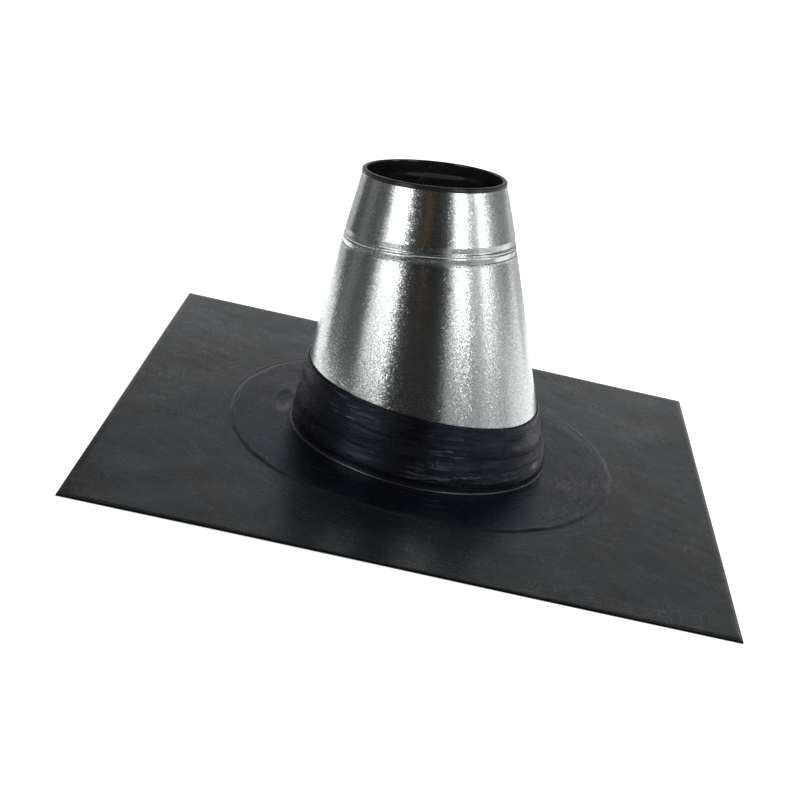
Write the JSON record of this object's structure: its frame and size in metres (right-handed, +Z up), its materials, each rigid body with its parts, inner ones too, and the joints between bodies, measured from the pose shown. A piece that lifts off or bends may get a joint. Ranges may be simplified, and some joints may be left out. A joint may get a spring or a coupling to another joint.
{
  "type": "pipe flashing boot",
  "caption": "Square lead roof flashing with a leaning tapered steel cone in two parts and a black plastic liner with a round pipe mouth.",
  "frame": {"origin": "middle of the sheet's underside", "axes": "+Z up from the sheet, +X and +Y along its sides; the cone leans mostly towards -X and a little towards +Y"},
  "size_m": [0.6, 0.6, 0.2818],
  "materials": {
    "lead": "dull dark milled lead sheet, darker and smoother where it was dressed round the cone",
    "galvanised_steel": "bright galvanised sheet steel with a fine sparkle",
    "black_plastic": "glossy black moulded plastic"
  },
  "bodies": {
    "root": {"lead_flashing": "lead", "lower_cone": "galvanised_steel", "upper_cone": "galvanised_steel", "inner_sleeve": "black_plastic"}
  },
  "joints": []
}
